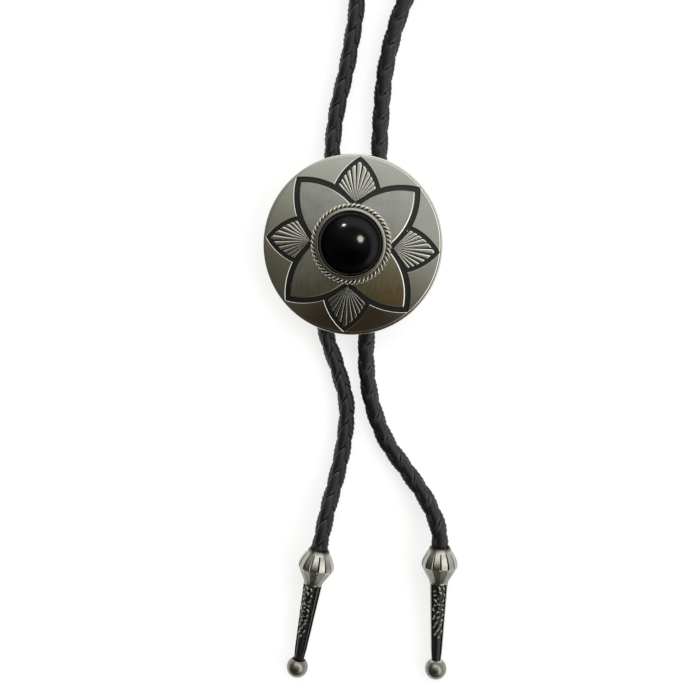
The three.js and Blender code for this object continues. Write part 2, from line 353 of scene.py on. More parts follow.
tipPlaces = {
    "leftTip": {"x": -1.5, "y": -88.4, "heading": -5.6, "roll": -30, "facetTurn": 6,
                "paintedShankShade": 0.9, "node": "left_tip"},
    "rightTip": {"x": 33, "y": -83.6, "heading": 3.5, "roll": 3, "facetTurn": -10,
                 "paintedShankShade": 0.1, "node": "right_tip"},
}
tipSizes = {
    "length": 38.9,
    "socketDepth": 7,
    "socketRadius": 2.62,
    "mouthRadius": 2.85,
    "mouthRise": 0.5,  # of the thin collar past the socket's measured mouth
    "facetRadius": 3.4,  # where the facets start
    "facetAt": 0.7,  # distances are from the mouth
    "facetLast": 5.2,
    "restRadius": 5.3,  # where the tip rests on the surface
    "restAt": 4.6,
    "shankRadius": 2.7,
    "shankAt": 9.6,
    "shankEndRadius": 1.45,
    "ballRadius": 3.1,
    "facets": 14,
    "grooveDepth": 0.32,
    "panelFirst": 10.1,
    "panelLast": 33,
    "panelDepth": 0.36,
    "panelShare": 0.84,  # of the shank's radius, for a scroll panel's half width
    "flankShare": 0.3,  # the same for the plain panels between them
    "strokeReach": 1,
    "strokeWidth": 0.28,
    "collarTone": 0.6,  # how black the mouth's collar is left
    "lowerPaintedShade": 0.36,  # how dark the painted shade on the lower cone and the ball is
}
ballAt = tipSizes["length"] - tipSizes["ballRadius"]
tipSlope = math.asin((tipSizes["restRadius"] - tipSizes["ballRadius"])
                     / (ballAt - tipSizes["restAt"]))
mouthHeight = tipSizes["restRadius"] + tipSizes["restAt"] * math.sin(tipSlope)

braid = {
    "radius": 2.56,
    "pitch": 14.2,  # of one lace's full turn
    "laceThickness": 1.05,
    "laceSpread": 83,  # degrees that a lace reaches each way from its middle
    "laceRounding": 1.0,
    "swell": 0.36,  # that a lace rises and sinks by as it passes over and under
    "coreRadius": 1.25,
    "sectionPoints": 14,
    "stepsPerPitch": 32,
    "columnTurn": 20,  # degrees that the columns of crossings turn from the side
}
restHeight = 2.55  # of the cord's axis where it lies on the surface
channelX = 6.2  # of the two channels in the keeper
channelZ = 3.45
leftTailRoute = [
    (-1, -83.9, 5.8), (-0.1, -76, 5), (1.3, -67, 3.1), (2.4, -57.5, restHeight),
    (2.2, -46, restHeight), (-1, -36.5, restHeight), (-5.9, -24.5, 3),
    (-channelX, -12, channelZ),
]
neckLoopRoute = [
    (-channelX, 0, channelZ), (-channelX, 12, channelZ), (-8.6, 25, 2.8),
    (-8.6, 36, restHeight), (-6.5, 53, restHeight), (-6.1, 73, restHeight),
    (-16, 103, restHeight), (-47, 140, restHeight), (-77, 181, restHeight),
    (-82, 227, restHeight), (-54, 266, restHeight), (2, 286, restHeight),
    (58, 266, restHeight), (86, 227, restHeight), (81, 181, restHeight),
    (51, 140, restHeight), (23, 103, restHeight), (8.6, 72, restHeight),
    (4.5, 53, restHeight), (4.2, 38, restHeight), (4.9, 25, 2.8),
    (channelX, 12, channelZ), (channelX, 0, channelZ),
]
rightTailRoute = [
    (channelX, -12, channelZ), (6.1, -24, 3), (6.8, -34, restHeight), (9.6, -45, restHeight),
    (14.6, -55, restHeight), (21.7, -63.3, 2.9), (27.8, -70.4, 4.5), (32, -78, 5.75),
]


def tipMatrix(place):
    return (Matrix.Translation((place["x"], place["y"], mouthHeight))
            @ Matrix.Rotation(math.radians(place["heading"]), 4, "Z")
            @ Matrix.Rotation(tipSlope - math.pi / 2, 4, "X")
            @ Matrix.Rotation(math.radians(place["roll"]), 4, "Z"))


# A point between b and c on the centripetal Catmull-Rom curve through four points.
def curvePoint(a, b, c, d, share):
    knots = [0]
    for p, q in ((a, b), (b, c), (c, d)):
        knots.append(knots[-1] + math.sqrt((q - p).length))
    at = mix(knots[1], knots[2], share)

    def between(p, q, first, last):
        return p.lerp(q, (at - knots[first]) / (knots[last] - knots[first]))

    ab, bc, cd = between(a, b, 0, 1), between(b, c, 1, 2), between(c, d, 2, 3)
    return between(between(ab, bc, 0, 2), between(bc, cd, 1, 3), 1, 2)


# The cord's whole axis as close points, each with its distance from the left tip's end.
def cordAxis():
    ends = [tipMatrix(place) for place in tipPlaces.values()]
    mouths = [[matrix @ Vector((0, 0, -depth)) for depth in (5.5, 0)] for matrix in ends]
    knots = [*mouths[0], *leftTailRoute, *neckLoopRoute, *rightTailRoute, *reversed(mouths[1])]
    knots = [Vector(knot) for knot in knots]
    knots = [2 * knots[0] - knots[1], *knots, 2 * knots[-1] - knots[-2]]
    points = []
    for four in zip(knots, knots[1:], knots[2:], knots[3:]):
        points += [curvePoint(*four, i / 40) for i in range(40)]
    points.append(knots[-2])
    lengths = [0]
    for p, q in zip(points, points[1:]):
        lengths.append(lengths[-1] + (q - p).length)
    return points, lengths


axisPoints, axisLengths = cordAxis()
cordLength = axisLengths[-1]
keeperEntry = axisLengths[40 * (len(leftTailRoute) + 2)]
keeperExit = axisLengths[40 * (len(leftTailRoute) + 1 + len(neckLoopRoute))]


# The axis at even steps, so that any distance along it is found by its number.
def evenFrames(step):
    frames = []
    k = 0
    count = math.ceil(cordLength / step) + 1
    for i in range(count):
        s = min(i * step, cordLength)
        while k < len(axisLengths) - 2 and axisLengths[k + 1] < s:
            k += 1
        share = (s - axisLengths[k]) / (axisLengths[k + 1] - axisLengths[k])
        frames.append(axisPoints[k].lerp(axisPoints[k + 1], share))
    return frames


axisStep = 0.5
evenAxis = evenFrames(axisStep)


def bendToAxis(co):
    k = min(max(int(co.z / axisStep), 1), len(evenAxis) - 3)
    share = co.z / axisStep - k
    centre = evenAxis[k].lerp(evenAxis[k + 1], share)
    before = evenAxis[k + 1] - evenAxis[k - 1]
    after = evenAxis[k + 2] - evenAxis[k]
    tangent = before.lerp(after, share).normalized()
    side = tangent.cross(upAxis).normalized()
    return centre + side * co.x + side.cross(tangent) * co.y


# One pitch of the braid along the upright axis: laces turning both ways, each over one and
# under one. They change places every quarter turn.
def braidPitch(bm):
    acrossLayer = bm.verts.layers.float.new("across")
    spread = math.radians(braid["laceSpread"])
    swell = braid["swell"]
    middle = braid["radius"] - braid["laceThickness"] / 2 - swell
    columns = math.radians(braid["columnTurn"])
    for sense in (1, -1):
        for start in (0, math.pi):
            before = set(bm.verts)
            ring = bmesh.ops.create_circle(bm, segments=braid["sectionPoints"], radius=1)["verts"]
            for vert in ring:
                width, height = vert.co.x, vert.co.y
                vert[acrossLayer] = width
                angle = columns + start + width * spread
                thick = abs(height) ** braid["laceRounding"] * braid["laceThickness"] / 2
                reach = middle + math.copysign(thick, height)
                vert.co = (reach * math.cos(angle), reach * math.sin(angle), 0)
            edges = list({e for v in ring for e in v.link_edges})
            steps = braid["stepsPerPitch"]
            bmesh.ops.spin(bm, geom=ring + edges, cent=(0, 0, 0), axis=upAxis,
                           dvec=(0, 0, braid["pitch"] / steps), angle=sense * 2 * math.pi,
                           steps=steps)
            for vert in set(bm.verts) - before:
                angle = math.atan2(vert.co.y, vert.co.x) - columns
                reach = vert.co.xy.length
                reach += sense * swell * math.cos(2 * angle)
                vert.co.xy = vert.co.xy.normalized() * reach
    core = bmesh.ops.create_circle(bm, segments=10, radius=braid["coreRadius"])["verts"]
    edges = list({e for v in core for e in v.link_edges})
    bmesh.ops.spin(bm, geom=core + edges, cent=(0, 0, 0), axis=upAxis,
                   dvec=(0, 0, braid["pitch"] / 16), angle=0, steps=16)


def braidPiece(name, first, last):
    bm = bmesh.new()
    braidPitch(bm)
    pitch = braid["pitch"]
    onePitch = bm.verts[:] + bm.edges[:] + bm.faces[:]
    turns = range(math.floor(first / pitch), math.ceil(last / pitch))
    for turn in turns[1:]:
        copied = bmesh.ops.duplicate(bm, geom=onePitch)["geom"]
        verts = [v for v in copied if isinstance(v, bmesh.types.BMVert)]
        bmesh.ops.translate(bm, verts=verts, vec=(0, 0, (turn - turns[0]) * pitch))
    bmesh.ops.translate(bm, verts=bm.verts, vec=(0, 0, turns[0] * pitch))
    bmesh.ops.remove_doubles(bm, verts=bm.verts, dist=0.002)
    for height, direction in ((first, -upAxis), (last, upAxis)):
        bmesh.ops.bisect_plane(bm, geom=bm.verts[:] + bm.edges[:] + bm.faces[:], dist=0.0001,
                               plane_co=(0, 0, height), plane_no=direction, clear_outer=True)
    closeHoles(bm)
    alongLayer = bm.verts.layers.float.new("along")
    for vert in bm.verts:
        vert[alongLayer] = vert.co.z
        vert.co = bendToAxis(vert.co)
    return finishPiece(bm, name, [waxedLeather], ["cord"], sharpAngle=60)


leftTail = braidPiece("leftTail", 0, keeperEntry)
neckLoop = braidPiece("neckLoop", keeperEntry, keeperExit)
rightTail = braidPiece("rightTail", keeperExit, cordLength)
print("cord braided, mm:", round(cordLength, 1), "tails", round(keeperEntry, 1),
      round(cordLength - keeperExit, 1))

# ---- slide: domed plate, sunk outlines, petals and ribbed leaves ----

plateSizes = {
    "thickness": 1.3,
    "rimRound": 0.4,  # of the upper corner; the lower one is smaller
    "turnedLine": 0.966,  # share of the radius where the rim steps down
    "turnedStep": 0.05,
    "turnedWidth": 0.14,
    "rings": 40,
    "segments": 192,
    "sunk": 0.45,  # depth of the blackened lines
    "turnedEdge": 0.08,  # depth and width of the worn corner along each line
    "turnedFlare": 0.13,
    "cell": 1.7,  # spacing of the cuts that let a flat shape follow the dome
}
# Outlines in shares of the slide's radius: two arcs that meet in a point on the form's own axis.
petal = {"arcAlong": 0.332, "arcAcross": 0.447, "arcRadius": 0.779, "base": 0.3, "band": 0.06}
leaf = {"arcAlong": 0.427, "arcAcross": 0.366, "arcRadius": 0.655, "base": 0.47, "band": 0.042}
petalSizes = {"bevelWidth": 0.26, "bevelDepth": 0.14, "arcSteps": 40}
ribSizes = {
    "count": 11,
    "reach": 53,  # degrees that the fan opens each way from the leaf's own axis
    "start": 0.466,  # where the fan's point is, as a share of the slide's radius
    "stepsAcross": 8,
    "scallop": 0.26,  # that the grooves stop short of the ribs' round ends
    "endRound": 0.22,
    "paintedShade": (0, 0, 0, 0.3),  # painted shade over the ribs of the right, top, left and bottom leaves
}
crown = boxOf("face_plate")[1].z


def domeDrop(x, y):
    return domeRise * (x * x + y * y) / slideRadius ** 2


def bendToDome(bm):
    for vert in bm.verts:
        vert.co.z -= domeDrop(vert.co.x, vert.co.y)


def cutInCells(bm, direction):
    cell = plateSizes["cell"]
    for k in range(-15, 16):
        bmesh.ops.bisect_plane(bm, geom=bm.verts[:] + bm.edges[:] + bm.faces[:], dist=0.0001,
                               plane_co=direction * k * cell, plane_no=direction)


# One closed outline, drawn in by a share of the radius, at a height.
def formLoop(bm, form, inset, height):
    radius = (form["arcRadius"] - inset) * slideRadius
    along = form["arcAlong"] * slideRadius
    across = form["arcAcross"] * slideRadius
    base = (form["base"] + inset / 2) * slideRadius
    tipAngle = math.asin(across / radius)
    baseAngle = math.acos((base - along) / radius)
    corner = bm.verts.new((base, radius * math.sin(baseAngle) - across, height))
    before = set(bm.verts) - {corner}
    bmesh.ops.spin(bm, geom=[corner], cent=(along, -across, height), axis=upAxis,
                   angle=tipAngle - baseAngle, steps=petalSizes["arcSteps"])
    half = [v for v in bm.verts if v not in before]
    edges = {e for v in half for e in v.link_edges}
    bmesh.ops.mirror(bm, geom=half + list(edges), matrix=Matrix.Identity(4), merge_dist=0.01,
                     axis="Y")
    whole = [v for v in bm.verts if v not in before]
    ends = [v for v in whole if len(v.link_edges) == 1]
    bm.edges.new(ends)
    return list({e for v in whole for e in v.link_edges})


# Joins outlines at (inset, height) levels into a closed solid and turns it about the middle.
def formSolid(form, levels, turn, darkLevels=()):
    bm = bmesh.new()
    loops = [formLoop(bm, form, inset, height) for inset, height in levels]
    for k, (lower, upper) in enumerate(zip(loops, loops[1:])):
        sides = bmesh.ops.bridge_loops(bm, edges=lower + upper)["faces"]
        for face in sides:
            face.material_index = 1 if k in darkLevels else 0
    for loop, dark in ((loops[0], bool(darkLevels)), (loops[-1], False)):
        for face in bmesh.ops.edgenet_fill(bm, edges=loop)["faces"]:
            face.material_index = 1 if dark else 0
    cutInCells(bm, Vector((1, 0, 0)))
    cutInCells(bm, Vector((0, 1, 0)))
    bmesh.ops.rotate(bm, verts=bm.verts, cent=(0, 0, 0), matrix=Matrix.Rotation(turn, 3, "Z"))
    bendToDome(bm)
    bmesh.ops.triangulate(bm, faces=[f for f in bm.faces if len(f.verts) > 4])
    return bm


def plateBlank():
    bm = bmesh.new()
    rim = plateSizes["rimRound"]
    flat = slideRadius - rim
    thick = plateSizes["thickness"]
    shares = [k / plateSizes["rings"] for k in range(plateSizes["rings"])]
    under = [(flat * s, crown - thick - domeDrop(flat * s, 0)) for s in shares]
    line = slideRadius * plateSizes["turnedLine"]
    step = plateSizes["turnedStep"]
    width = plateSizes["turnedWidth"]
    over = [(line + width, crown - domeDrop(line + width, 0) - step),
            (line, crown - domeDrop(line, 0))]
    over += [(flat * s, crown - domeDrop(flat * s, 0)) for s in reversed(shares)
             if flat * s < line - 0.3]
    edgeTop = crown - domeDrop(flat, 0) - step
    rolled = [(flat + 0.25, edgeTop - thick), (slideRadius, edgeTop - thick + 0.15),
              *arcProfile(flat, edgeTop - rim, rim, 0, 82, 8)]
    spinProfile(bm, [*under[::4], *rolled, *over], plateSizes["segments"])
    return bm


def sunkLines():
    floor = crown - plateSizes["sunk"]
    edge = plateSizes["turnedEdge"]
    flare = -plateSizes["turnedFlare"] / slideRadius
    levels = [(0, floor), (0, crown - edge), (flare, crown + 0.01), (flare, crown + 1)]
    tools = []
    for form, first in ((petal, math.pi / 4), (leaf, 0)):
        for k in range(4):
            tools.append(formSolid(form, levels, first + k * math.pi / 2, darkLevels=(0,)))
    return tools


facePlate = finishPiece(carve(plateBlank(), sunkLines(), [polishedMetal, blackened]),
                        "facePlate", [polishedMetal, blackened],
                        ["face_plate"], sharpAngle=15)
print("plate carved")


def joinInto(bm, other):
    mesh = bpy.data.meshes.new("joined")
    other.to_mesh(mesh)
    other.free()
    bm.from_mesh(mesh)
    bpy.data.meshes.remove(mesh)


def raisedPetals():
    bm = bmesh.new()
    width = petalSizes["bevelWidth"] / slideRadius
    band = petal["band"]
    levels = [(band, crown - plateSizes["sunk"] - 0.1), (band, crown - petalSizes["bevelDepth"]),
              (band + width, crown)]
    for k in range(4):
        joinInto(bm, formSolid(petal, levels, math.pi / 4 + k * math.pi / 2))
    for face in bm.faces:
        middle = face.calc_center_median()
        flush = crown - domeDrop(middle.x, middle.y) - 0.02
        face.material_index = 0 if middle.z > flush else 1
    return finishPiece(bm, "petals", [satinMetal, polishedMetal],
                       ["face_plate"], sharpAngle=20)


raisedPetals()


# How far a rib runs from the fan's point before it meets the leaf's inner outline.
def ribLength(angle):
    start = Vector((ribSizes["start"] * slideRadius, 0))
    centre = Vector((leaf["arcAlong"], -leaf["arcAcross"])) * slideRadius
    radius = (leaf["arcRadius"] - leaf["band"]) * slideRadius
    direction = Vector((math.cos(angle), abs(math.sin(angle))))
    away = start - centre
    nearing = direction.dot(away)
    return -nearing + math.sqrt(nearing ** 2 - away.length_squared + radius ** 2)


# A leaf's fan is a flat sheet opened about its point, raised in ribs and given a thickness.
def leafFan(bm, quarter, hollowLayer):
    count, steps = ribSizes["count"], ribSizes["stepsAcross"]
    depth = plateSizes["sunk"]
    rings = 18
    reach = math.radians(ribSizes["reach"])
    sheet = bmesh.ops.create_grid(bm, x_segments=count * steps, y_segments=rings, size=1)["verts"]
    faces = list({f for v in sheet for f in v.link_faces})
    for vert in sheet:
        ribPlace = (vert.co.x + 1) / 2 * count
        across = abs(2 * (ribPlace % 1) - 1)  # 0 along a rib's middle, 1 in a groove
        angle = vert.co.x * reach
        share = 1 - (1 - (vert.co.y + 1) / 2) ** 1.7
        length = ribLength(angle) - ribSizes["scallop"] * across ** 4
        left = length * (1 - share)  # distance still to go to the rib's end
        rise = math.sqrt(max(1 - across ** 3.2, 0))
        grooved = smoothStep(0, 0.12, share)
        ended = math.sqrt(min(left / ribSizes["endRound"], 1))
        black = max((1 - rise) * grooved, 1 - smoothStep(0.2, 0.6, ended))
        # Oxide in the grooves and at the ribs' ends, plus each leaf's painted shade.
        vert[hollowLayer] = black + ribSizes["paintedShade"][quarter]
        height = depth * (mix(1, 0.12 + 0.88 * rise, grooved) * ended - 1)
        along = max(length * share, 0.02)
        vert.co = (along * math.cos(angle), along * math.sin(angle), height)
    lower = bmesh.ops.extrude_face_region(bm, geom=faces)["geom"]
    foot = [v for v in lower if isinstance(v, bmesh.types.BMVert)]
    for vert in foot:
        vert.co.z = -depth - 0.1
    turn = Matrix.Rotation(quarter * math.pi / 2, 4, "Z")
    lift = Matrix.Translation((ribSizes["start"] * slideRadius, 0, crown))
    bmesh.ops.transform(bm, matrix=turn @ lift, verts=sheet + foot)


def leafRibs():
    bm = bmesh.new()
    hollowLayer = bm.verts.layers.float.new("hollow")
    for quarter in range(4):
        leafFan(bm, quarter, hollowLayer)
    bendToDome(bm)
    return finishPiece(bm, "leafRibs", [struckMetal], ["face_plate"],
                       sharpAngle=60)


leafRibs()
print("petals and leaves raised")

# ---- setting: bezel cup and rope wire ----

settingSizes = {
    "wallOuter": 10,
    "bore": 9.3,
    "lipInner": 9.08,  # the lip is burnished in over the stone's edge
    "lipRound": 0.3,
    "bed": 0.9,  # of the stone's seat over the crown
    "clearance": 0.3,  # between the cup's foot and the dome
    "ropeRing": 10.7,
    "ropeRadius": 0.8,
    "ropeTurns": 26,
    "wireRadius": 0.43,
    "stepsPerTurn": 16,
    "segments": 192,
}
settingTop = boxOf("bezel_setting")[1].z


def bezelCup():
    bm = bmesh.new()
    outer = settingSizes["wallOuter"]
    bore = settingSizes["bore"]
    foot = crown + settingSizes["clearance"]
    lip = settingSizes["lipRound"]
    bed = crown + settingSizes["bed"]
    skirt = settingSizes["ropeRing"] - 0.2
    profile = [(r, foot - domeDrop(r, 0)) for r in (0, 3, 6, 9)]
    profile += [(skirt, foot - domeDrop(skirt, 0)), (skirt, foot + 0.35), (outer, foot + 0.75)]
    profile += arcProfile(outer - lip, settingTop - lip - 0.15, lip, 0, 70, 5)
    inner = settingSizes["lipInner"]
    profile += arcProfile(inner + 0.12, settingTop - 0.12, 0.12, 80, 180, 5)
    profile += [(inner, settingTop - 0.3), (bore, settingTop - 0.6), (bore, bed), (0, bed)]
    spinProfile(bm, profile, settingSizes["segments"])
    bm.verts.layers.float.new("hollow")
    return finishPiece(bm, "bezelCup", [burnishedMetal], ["bezel_setting"])


def ropeWire():
    bm = bmesh.new()
    hollowLayer = bm.verts.layers.float.new("hollow")
    ring = settingSizes["ropeRing"]
    turns = settingSizes["ropeTurns"]
    pitch = 2 * math.pi * ring / turns
    offset = settingSizes["ropeRadius"] - settingSizes["wireRadius"]
    steps = settingSizes["stepsPerTurn"]
    for start in (0, math.pi):
        place = Matrix.Translation((offset * math.cos(start), offset * math.sin(start), 0))
        wire = bmesh.ops.create_circle(bm, segments=12, radius=settingSizes["wireRadius"],
                                       matrix=place)["verts"]
        edges = list({e for v in wire for e in v.link_edges})
        bmesh.ops.spin(bm, geom=wire + edges, cent=(0, 0, 0), axis=upAxis,
                       dvec=(0, 0, pitch / steps), angle=2 * math.pi * turns,
                       steps=steps * turns)
    ropeHeight = crown + settingSizes["clearance"] - domeDrop(ring, 0) + settingSizes["ropeRadius"]
    for vert in bm.verts:
        depth = vert.co.xy.length / settingSizes["ropeRadius"]
        vert[hollowLayer] = 0.9 - 0.9 * smoothStep(0.35, 0.68, depth)
        angle = vert.co.z / ring
        reach = ring + vert.co.x
        vert.co = (reach * math.cos(angle), reach * math.sin(angle), ropeHeight + vert.co.y)
    bmesh.ops.remove_doubles(bm, verts=bm.verts, dist=0.002)
    return finishPiece(bm, "ropeWire", [solderedMetal], ["bezel_setting"],
                       sharpAngle=80)


bezelCup()
ropeWire()
print("setting made")

# ---- stone: round cabochon ----

stoneLow, stoneHigh = boxOf("onyx_stone")
stoneSizes = {"radius": 9, "girdle": 1.6, "footBevel": 0.3, "segments": 192}


def onyxStone():
    bm = bmesh.new()
    radius = stoneSizes["radius"]
    bevel = stoneSizes["footBevel"]
    girdle = stoneLow.z + stoneSizes["girdle"]
    rise = stoneHigh.z - girdle
    dome = []
    for k in range(33):
        angle = k / 32 * math.pi / 2
        dome.append((radius * math.cos(angle), girdle + rise * math.sin(angle)))
    foot = [(0, stoneLow.z), (radius - bevel, stoneLow.z), (radius, stoneLow.z + bevel)]
    spinProfile(bm, foot + dome, stoneSizes["segments"])
    return finishPiece(bm, "onyxStone", [polishedOnyx], ["onyx_stone"])


stonePiece = onyxStone()

# ---- keeper: pressed block with two channels, under a round pad ----

keeperLow, keeperHigh = boxOf("back_keeper")
keeperSizes = {"channelRadius": 2.65, "wall": 0.8, "padRadius": 8, "bevel": 0.5, "mouthFlare": 0.3}


def backKeeper():
    size = keeperHigh - keeperLow
    blockHeight = 2 * (keeperSizes["wall"] + keeperSizes["channelRadius"])
    bm = bmesh.new()
    block = bmesh.ops.create_cube(bm, size=1)["verts"]
    bmesh.ops.scale(bm, vec=(size.x, size.y, blockHeight), verts=block)
    bmesh.ops.translate(bm, vec=(0, 0, blockHeight / 2), verts=block)
    bmesh.ops.bevel(bm, geom=bm.edges[:], offset=keeperSizes["bevel"], offset_type="OFFSET",
                    segments=3, profile=0.5, affect="EDGES", material=-1)
    channels = []
    for x in (-channelX, channelX):
        channel = bmesh.new()
        half = size.y / 2
        radius = keeperSizes["channelRadius"]
        flare = keeperSizes["mouthFlare"]
        profile = [(0, -half - 1), (radius + flare, -half - 1), (radius + flare, -half),
                   (radius, -half + flare), (radius, half - flare), (radius + flare, half),
                   (radius + flare, half + 1), (0, half + 1)]
        spinProfile(channel, profile, 64)
        bmesh.ops.rotate(channel, verts=channel.verts, cent=(0, 0, 0),
                         matrix=Matrix.Rotation(math.pi / 2, 3, "X"))
        bmesh.ops.translate(channel, verts=channel.verts, vec=(x, 0, channelZ))
        channels.append(channel)
    keeper = carve(bm, channels, [platedSteel])
    pad = keeperSizes["padRadius"]
    spinProfile(keeper, [(0, blockHeight - 0.3), (pad, blockHeight - 0.3),
                         (pad, keeperHigh.z - 0.15), (pad - 0.15, keeperHigh.z),
                         (0, keeperHigh.z)], 96)
    return finishPiece(keeper, "backKeeper", [platedSteel], ["back_keeper"])


backKeeper()
print("stone and keeper made")


# ---- tips: fluted socket, faceted cone, tapered shank with scrollwork, ball ----

def shankRadius(depth):
    share = (depth - tipSizes["shankAt"]) / (ballAt - tipSizes["shankAt"])
    return mix(tipSizes["shankRadius"], tipSizes["shankEndRadius"], share)


# Makes the round cones many-sided, and sinks a groove at each corner of the upper one.
def facetTip(bm, hollowLayer, place):
    corner = 2 * math.pi / tipSizes["facets"]
    for vert in bm.verts:
        reach = vert.co.xy.length
        depth = -vert.co.z
        if reach < tipSizes["socketRadius"] + 0.2 and depth < tipSizes["socketDepth"] + 0.1:
            continue
        angle = math.atan2(vert.co.y, vert.co.x) % corner
        sided = math.cos(corner / 2) / math.cos(angle - corner / 2)
        first, last, shank = (tipSizes[k] for k in ("facetAt", "facetLast", "shankAt"))
        onCone = smoothStep(first - 0.1, first + 0.2, depth) * (1 - smoothStep(shank - 0.8,
                                                                              shank - 0.1, depth))
        grooved = smoothStep(first, first + 0.3, depth) * (1 - smoothStep(last - 0.4, last + 0.1,
                                                                          depth))
        atCorner = 1 if min(angle, corner - angle) < 0.01 else 0
        toned = mix(tipSizes["collarTone"], 0, smoothStep(0, first + 0.2, depth))
        # Painted shade darkens the lower cone and the ball.
        toned = mix(toned, tipSizes["lowerPaintedShade"], smoothStep(last, last + 0.4, depth))
        onShank = depth > shank + 0.1 and depth < ballAt - tipSizes["ballRadius"] * 0.8
        # The shank takes its tip's painted shade; elsewhere the oxide in the flutes and at the
        # collar, and the lower cone's painted shade.
        vert[hollowLayer] = place["paintedShankShade"] if onShank else max(atCorner * grooved, toned)
        if onCone:
            reach = reach * mix(1, sided, onCone) - tipSizes["grooveDepth"] * atCorner * grooved
            vert.co.xy = vert.co.xy.normalized() * reach


# A panel's cutter: the shell round the shank that lies within a wedge, so its floor is round.
def panelCutter(turn, share):
    bm = bmesh.new()
    spread = math.asin(share)
    steps = 14
    levels = []
    for depth in (tipSizes["panelFirst"], tipSizes["panelLast"]):
        inner = shankRadius(depth) - tipSizes["panelDepth"]
        outer = inner + 2
        levels.append([bm.verts.new((inner, 0, -depth)), bm.verts.new((outer, 0, -depth))])
    corners = [levels[0][0], levels[0][1], levels[1][1], levels[1][0]]
    wall = bm.faces.new(corners)
    bmesh.ops.rotate(bm, verts=corners, cent=(0, 0, 0),
                     matrix=Matrix.Rotation(turn - math.pi / 2 - spread, 3, "Z"))
    bmesh.ops.spin(bm, geom=[*corners, *wall.edges, wall], cent=(0, 0, 0), axis=upAxis,
                   angle=2 * spread, steps=steps)
    for face in bm.faces:
        face.material_index = 1
    return bm


# A scroll panel's strokes: distance from the mouth, place across as a share of the panel,
# tilt in degrees, half length and bend.
scrollStrokes = [
    (11.2, -0.1, 62, 0.9, 0.5), (11.3, 0.45, 70, 0.8, 0.5), (11.9, -0.55, -40, 0.5, -0.4),
    (12.7, 0.1, 55, 0.75, 0.6), (13.1, 0.62, 80, 0.6, 0.4), (13.4, -0.45, -25, 0.55, 0.3),
    (14.2, -0.05, 0, 0.22, 0), (14.6, 0.5, -50, 0.7, -0.5), (15, -0.5, 60, 0.7, 0.5),
    (15.6, 0.1, 30, 0.6, -0.6), (16.3, 0.6, -15, 0.5, 0.3), (16.4, -0.4, -30, 0.5, 0.4),
    (17, 0.1, 0, 0.22, 0), (17.5, -0.55, 65, 0.7, -0.4), (17.7, 0.5, 50, 0.65, 0.5),
    (18.5, 0, -35, 0.7, 0.5), (19.1, 0.6, -60, 0.55, -0.3), (19.5, -0.5, 0, 0.22, 0),
    (20, 0.1, -60, 0.7, 0.4), (20.4, -0.55, -50, 0.6, 0.3), (20.9, 0.6, -55, 0.7, 0.2),
    (21.5, -0.15, -62, 0.8, 0.15), (22.3, 0.4, -60, 0.9, 0.1), (22.8, -0.5, -62, 0.7, 0.1),
    (23.7, 0.05, -60, 0.9, 0.1), (24.2, 0.6, -64, 0.7, 0), (24.9, -0.35, -62, 0.7, 0),
    (25.8, 0.2, -64, 0.6, 0),
]


# Raises the scrolls on a panel's floor.
def panelScrolls(bm, turn):
    half = Matrix.Rotation(turn, 4, "Z")
    for depth, x, tilt, length, bend in scrollStrokes:
        radius = shankRadius(depth)
        reach = radius * tipSizes["panelShare"]
        verts = bmesh.ops.create_uvsphere(bm, u_segments=8, v_segments=8, radius=1)["verts"]
        long = length * tipSizes["strokeReach"]
        for vert in verts:
            along = vert.co.x
            thin = tipSizes["strokeWidth"] * (1 if length > 0.3 else 1.3)
            vert.co.x = along * long
            vert.co.z = vert.co.z * thin + bend * (1 - along * along) * long
            vert.co.y = vert.co.y * 0.36
        lean = Matrix.Rotation(math.radians(tilt), 4, "Y")
        away = abs(x) * tipSizes["panelShare"]
        floor = radius * math.sqrt(1 - away ** 2) - tipSizes["panelDepth"] + 0.06
        lift = Matrix.Translation((x * reach, -floor, -depth))
        swing = Matrix.Rotation(math.asin(x * tipSizes["panelShare"]) * 0.7, 4, "Z")
        bmesh.ops.transform(bm, matrix=half @ lift @ swing @ lean, verts=verts)


# The two cones: distance from the mouth and radius.
tipBulge = [
    (0.7, 3.4), (0.9, 3.55), (1.4, 3.96), (2.2, 4.4), (3, 4.82), (3.6, 5.05), (4.3, 5.2),
    (4.9, 5.22), (5.2, 5.16), (5.5, 4.98), (6.6, 4.36), (8, 3.56), (9, 3), (9.4, 2.8),
    (9.6, 2.7),
]


